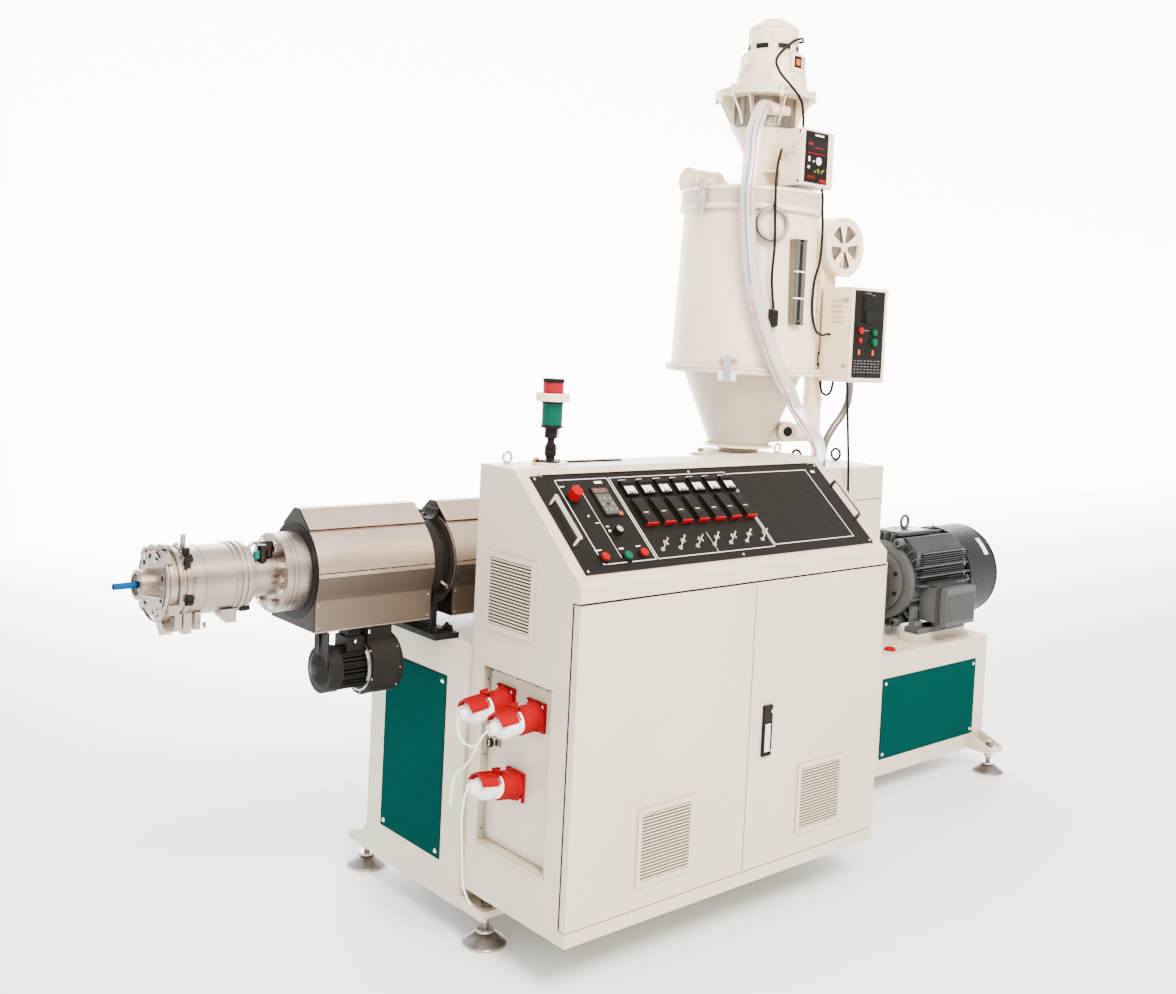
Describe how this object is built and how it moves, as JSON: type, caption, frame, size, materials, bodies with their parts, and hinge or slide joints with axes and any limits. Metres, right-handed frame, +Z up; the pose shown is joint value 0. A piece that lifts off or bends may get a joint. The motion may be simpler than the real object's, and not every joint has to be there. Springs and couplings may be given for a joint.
{
  "type": "plastic pipe extruder",
  "caption": "Single-screw pipe extruder with covered barrel heaters, die, geared motor drive, control cabinet with sloping console, and a hopper dryer with vacuum loader.",
  "frame": {"origin": "on the floor, below the middle of the bounding box of the whole machine", "axes": "+X from the die towards the motor, -Y towards the operator, +Z up"},
  "size_m": [3.5874, 1.0548, 2.78],
  "materials": {
    "cream_paint": "satin powder coat",
    "teal_paint": "satin paint",
    "black_paint": "satin paint",
    "motor_paint": "satin paint",
    "cowl_paint": "satin paint",
    "panel_black": "satin paint",
    "cover_steel": "brushed",
    "machined_steel": "turned",
    "dark_steel": "heat tinted",
    "stainless": "satin",
    "bright_metal": "polished",
    "cast_metal": "machined faces",
    "instrument_plastic": "satin",
    "red_plastic": "semi-gloss",
    "green_plastic": "semi-gloss",
    "white_plastic": "satin",
    "black_plastic": "satin",
    "lamp_plastic": "gloss",
    "hose_plastic": "clear",
    "lead_rubber": "matt",
    "window_frame": "tinted",
    "pipe_plastic": "semi-matt"
  },
  "bodies": {
    "machine": {"bed_frame": "cream_paint", "bed_panels": "teal_paint", "fixings": "bright_metal", "levelling_feet": "stainless", "barrel": "machined_steel", "feed_throat": "cast_metal", "heater_bands": "dark_steel", "heater_covers": "cover_steel", "barrel_stands": "black_paint", "cooling_blower": "black_paint", "die_adaptor": "machined_steel", "die_body": "machined_steel", "die_ring": "machined_steel", "die_nose": "machined_steel", "die_mandrel": "machined_steel", "pipe_sample": "pipe_plastic", "gearbox_case": "cream_paint", "motor_frame": "motor_paint", "motor_cowl": "cowl_paint", "cabinet_body": "cream_paint", "signal_tower": "lamp_plastic", "dryer_hopper": "cream_paint", "dryer_lid": "cream_paint", "sight_glass": "window_frame", "dryer_blower": "cream_paint", "control_boxes": "cream_paint", "loader_body": "cream_paint", "loader_head": "cream_paint", "suction_hose": "hose_plastic", "leads": "lead_rubber"},
    "left_door": {"left_door": "cream_paint"},
    "right_door": {"right_door": "cream_paint", "door_handle": "black_plastic"},
    "door_lever": {"door_lever": "bright_metal"},
    "console": {"console_panel": "panel_black", "instruments": "instrument_plastic", "console_handles": "stainless"},
    "emergency_stop": {"emergency_stop": "red_plastic"},
    "stop_button": {"stop_button": "red_plastic"},
    "start_button": {"start_button": "green_plastic"},
    "reset_button": {"reset_button": "red_plastic"},
    "speed_knob": {"speed_knob": "black_plastic"},
    "socket_panel": {"socket_panel": "cream_paint", "power_sockets": "red_plastic"},
    "socket_lid_1": {"socket_lid_1": "red_plastic"},
    "socket_lid_2": {"socket_lid_2": "red_plastic"},
    "socket_lid_3": {"socket_lid_3": "red_plastic"},
    "plug_1": {"plug_1": "white_plastic", "cord_1": "white_plastic"},
    "plug_2": {"plug_2": "white_plastic", "cord_2": "white_plastic"},
    "plug_3": {"plug_3": "white_plastic", "cord_3": "white_plastic"},
    "drive_line": {"input_shaft": "machined_steel", "motor_rotor": "machined_steel"},
    "countershaft": {"countershaft": "machined_steel"},
    "screw": {"screw": "machined_steel"},
    "blower_rotor": {"blower_rotor": "stainless"},
    "dryer_impeller": {"dryer_impeller": "stainless"},
    "slide_gate": {"slide_gate": "stainless"}
  },
  "joints": [
    {"name": "left_door_hinge", "type": "hinge", "parent": "machine", "child": "left_door", "pos_m": [-0.89265, -0.5085, 0.586], "axis": [0, 0, -1], "range_deg": [0, 95]},
    {"name": "right_door_hinge", "type": "hinge", "parent": "machine", "child": "right_door", "pos_m": [0.31835, -0.5085, 0.586], "axis": [0, 0, 1], "range_deg": [0, 110]},
    {"name": "door_lever_pivot", "type": "hinge", "parent": "right_door", "child": "door_lever", "pos_m": [-0.19165, -0.5247, 0.586], "axis": [-1, 0, 0], "range_deg": [0, 60]},
    {"name": "console_hinge", "type": "hinge", "parent": "machine", "child": "console", "pos_m": [-0.28965, -0.24888, 1.28296], "axis": [-1, 0, 0], "range_deg": [0, 70]},
    {"name": "emergency_stop_travel", "type": "slide", "parent": "console", "child": "emergency_stop", "axis": [0, 0.6623, -0.7492], "range_m": [0, 0.005], "stiffness_N_per_m": 800, "springref_m": -0.002},
    {"name": "stop_button_travel", "type": "slide", "parent": "console", "child": "stop_button", "axis": [0, 0.6623, -0.7492], "range_m": [0, 0.005], "stiffness_N_per_m": 800, "springref_m": -0.002},
    {"name": "start_button_travel", "type": "slide", "parent": "console", "child": "start_button", "axis": [0, 0.6623, -0.7492], "range_m": [0, 0.005], "stiffness_N_per_m": 800, "springref_m": -0.002},
    {"name": "reset_button_travel", "type": "slide", "parent": "console", "child": "reset_button", "axis": [0, 0.6623, -0.7492], "range_m": [0, 0.005], "stiffness_N_per_m": 800, "springref_m": -0.002},
    {"name": "speed_knob_turn", "type": "hinge", "parent": "console", "child": "speed_knob", "pos_m": [-0.69265, -0.40622, 1.14388], "axis": [0, -0.6623, 0.7492], "range_deg": [-150, 150]},
    {"name": "socket_panel_hinge", "type": "hinge", "parent": "machine", "child": "socket_panel", "pos_m": [-0.88265, -0.4255, 0.526], "axis": [0, 0, 1], "range_deg": [0, 90]},
    {"name": "socket_lid_1_hinge", "type": "hinge", "parent": "socket_panel", "child": "socket_lid_1", "pos_m": [-0.95676, -0.2165, 0.71219], "axis": [0, 1, 0], "range_deg": [0, 80], "stiffness_Nm_per_rad": 0.01, "springref_deg": -11.46},
    {"name": "plug_1_pull", "type": "slide", "parent": "socket_panel", "child": "plug_1", "axis": [-0.9925, 0, -0.1219], "range_m": [0, 0.09]},
    {"name": "socket_lid_2_hinge", "type": "hinge", "parent": "socket_panel", "child": "socket_lid_2", "pos_m": [-0.9557, -0.3455, 0.70775], "axis": [0, 1, 0], "range_deg": [0, 80], "stiffness_Nm_per_rad": 0.01, "springref_deg": -11.46},
    {"name": "plug_2_pull", "type": "slide", "parent": "socket_panel", "child": "plug_2", "axis": [-0.9962, 0, -0.0872], "range_m": [0, 0.09]},
    {"name": "socket_lid_3_hinge", "type": "hinge", "parent": "socket_panel", "child": "socket_lid_3", "pos_m": [-0.9475, -0.2725, 0.52125], "axis": [0, 1, 0], "range_deg": [0, 80], "stiffness_Nm_per_rad": 0.01, "springref_deg": -11.46},
    {"name": "plug_3_pull", "type": "slide", "parent": "socket_panel", "child": "plug_3", "axis": [-0.9925, 0, 0.1219], "range_m": [0, 0.09]},
    {"name": "motor_spin", "type": "hinge", "parent": "machine", "child": "drive_line", "pos_m": [1.42835, 0.1605, 0.747], "axis": [1, 0, 0], "continuous": true},
    {"name": "countershaft_spin", "type": "hinge", "parent": "machine", "child": "countershaft", "pos_m": [0.80935, 0.22029, 0.86243], "axis": [1, 0, 0], "continuous": true},
    {"name": "screw_spin", "type": "hinge", "parent": "machine", "child": "screw", "pos_m": [-0.50465, 0.1605, 1], "axis": [1, 0, 0], "continuous": true},
    {"name": "blower_rotor_spin", "type": "hinge", "parent": "machine", "child": "blower_rotor", "pos_m": [-1.10465, 0.0775, 0.749], "axis": [1, 0, 0], "continuous": true},
    {"name": "dryer_impeller_spin", "type": "hinge", "parent": "machine", "child": "dryer_impeller", "pos_m": [0.71535, 0.0705, 2.011], "axis": [0, 1, 0], "continuous": true},
    {"name": "slide_gate_pull", "type": "slide", "parent": "machine", "child": "slide_gate", "axis": [0, 1, 0], "range_m": [0, 0.14]}
  ],
  "couplings": [
    {"joint": "countershaft_spin", "follows": "motor_spin", "ratio": -0.3},
    {"joint": "screw_spin", "follows": "motor_spin", "ratio": 0.10909}
  ]
}
